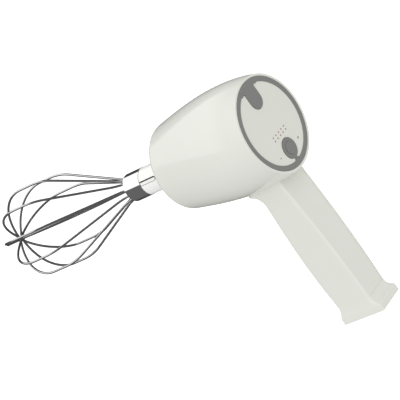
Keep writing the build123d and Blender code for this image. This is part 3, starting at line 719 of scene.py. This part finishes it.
def makeFloor(look):
    mesh = bpy.data.meshes.new("floor")
    half = look["floorSize"] / 2
    corners = [(-half, -half, 0), (half, -half, 0), (half, half, 0), (-half, half, 0)]
    mesh.from_pydata(corners, [], [(0, 1, 2, 3)])
    floor = bpy.data.objects.new("floor", mesh)
    bpy.context.scene.collection.objects.link(floor)
    material, tree, shader = newMaterial("floorPaper")
    grain = addNode(tree, "ShaderNodeTexNoise", (-400, 0), Scale=300.0, Detail=2.0)
    tone = addNode(tree, "ShaderNodeMix", (-100, 0), data_type="RGBA")
    tone.inputs["A"].default_value = look["paper"][0]
    tone.inputs["B"].default_value = look["paper"][1]
    tree.links.new(grain.outputs["Fac"], tone.inputs["Factor"])
    tree.links.new(tone.outputs["Result"], shader.inputs["Base Color"])
    shader.inputs["Roughness"].default_value = 1.0
    shader.inputs["Specular IOR Level"].default_value = 0.0
    shader.inputs["Emission Color"].default_value = (1, 1, 1, 1)
    shader.inputs["Emission Strength"].default_value = look["floorGlow"]
    mesh.materials.append(material)
    floor.visible_glossy = False
    floor.visible_diffuse = False


def makeWorld(light):
    world = bpy.data.worlds.new("studio")
    bpy.context.scene.world = world
    world.use_nodes = True
    world.cycles.sampling_method = "NONE"
    tree = world.node_tree
    tree.nodes.clear()
    links = tree.links
    out = addNode(tree, "ShaderNodeOutputWorld", (900, 0))
    back = addNode(tree, "ShaderNodeBackground", (700, 0))
    place = addNode(tree, "ShaderNodeTexCoord", (-900, 0))
    # overhead softbox and darker surroundings, for reflections
    tilt = addNode(tree, "ShaderNodeVectorMath", (-700, 100), operation="DOT_PRODUCT")
    tilt.inputs[1].default_value = light["softboxTilt"]
    links.new(place.outputs["Generated"], tilt.inputs[0])
    edge = addNode(tree, "ShaderNodeMapRange", (-500, 100), interpolation_type="SMOOTHSTEP")
    edge.inputs["From Min"].default_value = light["softboxEdge"][0]
    edge.inputs["From Max"].default_value = light["softboxEdge"][1]
    links.new(tilt.outputs["Value"], edge.inputs["Value"])
    split = addNode(tree, "ShaderNodeSeparateXYZ", (-700, -200))
    links.new(place.outputs["Generated"], split.inputs["Vector"])
    reach = addNode(tree, "ShaderNodeMapRange", (-500, 300), interpolation_type="SMOOTHSTEP")
    reach.inputs["From Min"].default_value = light["softboxFrom"]
    reach.inputs["From Max"].default_value = light["softboxFull"]
    links.new(split.outputs["X"], reach.inputs["Value"])
    box = addNode(tree, "ShaderNodeMath", (-350, 200), operation="MULTIPLY")
    links.new(edge.outputs["Result"], box.inputs[0])
    links.new(reach.outputs["Result"], box.inputs[1])
    depth = addNode(tree, "ShaderNodeMapRange", (-500, -200), interpolation_type="SMOOTHSTEP")
    depth.inputs["From Min"].default_value = light["sideFade"][0]
    depth.inputs["From Max"].default_value = light["sideFade"][1]
    depth.inputs["To Min"].default_value = light["behind"]
    depth.inputs["To Max"].default_value = light["below"]
    links.new(split.outputs["Y"], depth.inputs["Value"])
    mirrored = addNode(tree, "ShaderNodeMix", (-200, 0), data_type="FLOAT")
    links.new(box.outputs["Value"], mirrored.inputs["Factor"])
    links.new(depth.outputs["Result"], mirrored.inputs["A"])
    mirrored.inputs["B"].default_value = light["softbox"]
    # broad soft key over an even fill, for matt light
    facing = addNode(tree, "ShaderNodeVectorMath", (-700, -400), operation="DOT_PRODUCT")
    facing.inputs[1].default_value = light["keyToward"]
    links.new(place.outputs["Generated"], facing.inputs[0])
    lit = addNode(tree, "ShaderNodeMath", (-500, -400), operation="MAXIMUM")
    lit.inputs[1].default_value = 0.0
    links.new(facing.outputs["Value"], lit.inputs[0])
    soft = addNode(tree, "ShaderNodeMath", (-300, -400), operation="MULTIPLY_ADD")
    soft.inputs[1].default_value = light["key"]
    soft.inputs[2].default_value = light["fill"]
    links.new(lit.outputs["Value"], soft.inputs[0])
    path = addNode(tree, "ShaderNodeLightPath", (-200, 300))
    bounced = addNode(tree, "ShaderNodeMix", (0, 0), data_type="FLOAT")
    links.new(path.outputs["Is Diffuse Ray"], bounced.inputs["Factor"])
    links.new(mirrored.outputs["Result"], bounced.inputs["A"])
    links.new(soft.outputs["Value"], bounced.inputs["B"])
    seen = addNode(tree, "ShaderNodeMix", (200, 0), data_type="FLOAT")
    links.new(path.outputs["Is Camera Ray"], seen.inputs["Factor"])
    links.new(bounced.outputs["Result"], seen.inputs["A"])
    seen.inputs["B"].default_value = light["cameraWhite"]
    links.new(seen.outputs["Result"], back.inputs["Strength"])
    links.new(back.outputs["Background"], out.inputs["Surface"])
    back.inputs["Color"].default_value = (1, 1, 1, 1)


makeFloor(studio)
makeWorld(studio)
bpy.context.scene.view_settings.view_transform = "Standard"
log("studio lit")
